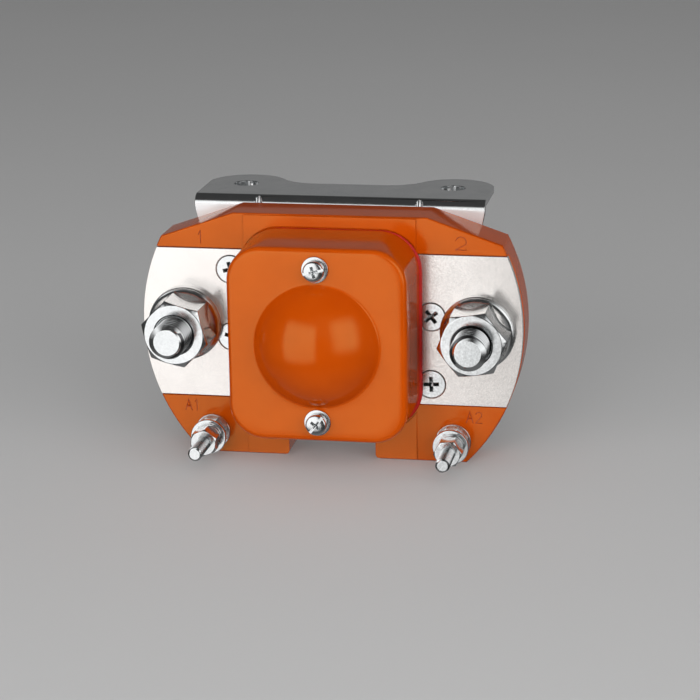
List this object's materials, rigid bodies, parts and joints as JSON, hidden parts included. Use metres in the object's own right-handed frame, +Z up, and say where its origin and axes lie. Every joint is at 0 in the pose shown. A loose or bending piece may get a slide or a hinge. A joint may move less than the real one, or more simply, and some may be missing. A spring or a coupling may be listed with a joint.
{
  "type": "dc contactor",
  "caption": "Electromagnetic DC contactor: orange moulded terminal head with a domed arc cover, threaded power and coil studs, round coil can and L-shaped mounting bracket.",
  "frame": {"origin": "midway between the two bracket holes, on the bracket's top face", "axes": "+Z up, out of the bracket's top face; -Y is the way the terminal studs point; +X runs from the left main stud to the right one"},
  "size_m": [0.1072, 0.0932, 0.0714],
  "materials": {
    "moulding": "glossy orange thermoset moulding",
    "gasket": "deep red rubber",
    "tinned_copper": "tinned copper with a fine satin grain",
    "bright_zinc": "bright blue-white zinc plate",
    "zinc_sheet": "bright zinc-plated sheet steel",
    "soft_iron": "plated soft iron",
    "nylon": "natural nylon",
    "enamelled_wire": "varnished copper wire",
    "lead_sleeve": "black sleeve",
    "brass": "turned brass",
    "buffer_rubber": "black rubber",
    "contact_silver": "silver alloy",
    "bridge_copper": "bare copper",
    "spring_steel": "bright steel"
  },
  "bodies": {
    "contactor": {"base_housing": "moulding", "arc_cover": "moulding", "cover_gasket": "gasket", "terminal_plate_left": "tinned_copper", "terminal_plate_right": "tinned_copper", "terminal_stud_left": "bright_zinc", "terminal_stud_right": "bright_zinc", "terminal_washers": "bright_zinc", "terminal_nut_left": "bright_zinc", "terminal_nut_right": "bright_zinc", "plate_screws": "bright_zinc", "cover_screws": "bright_zinc", "cover_screw_spring_washers": "bright_zinc", "cover_screw_washers": "bright_zinc", "coil_studs": "bright_zinc", "coil_base_washers": "bright_zinc", "coil_jam_nuts": "bright_zinc", "coil_washers": "bright_zinc", "coil_spring_washers": "bright_zinc", "coil_nuts": "bright_zinc", "frame_screws": "bright_zinc", "mounting_bracket": "zinc_sheet", "coil_can": "zinc_sheet", "yoke_plate": "soft_iron", "pole_core": "soft_iron", "coil_bobbin": "nylon", "coil_winding": "enamelled_wire", "coil_leads": "lead_sleeve", "guide_tube": "brass", "guide_bush": "brass", "rest_buffer": "buffer_rubber", "fixed_contacts": "contact_silver", "return_spring": "spring_steel"},
    "armature": {"plunger": "soft_iron", "plunger_shaft": "spring_steel", "bridge_bush": "nylon", "contact_bridge": "bridge_copper", "bridge_contacts": "contact_silver", "bridge_washer": "nylon", "contact_spring": "spring_steel", "spring_seat": "spring_steel", "shaft_clip": "spring_steel"}
  },
  "joints": [
    {"name": "armature_slide", "type": "slide", "parent": "contactor", "child": "armature", "axis": [0, 1, 0], "range_m": [0, 0.003], "stiffness_N_per_m": 900, "springref_m": -0.004, "deforming": ["return_spring"]}
  ]
}
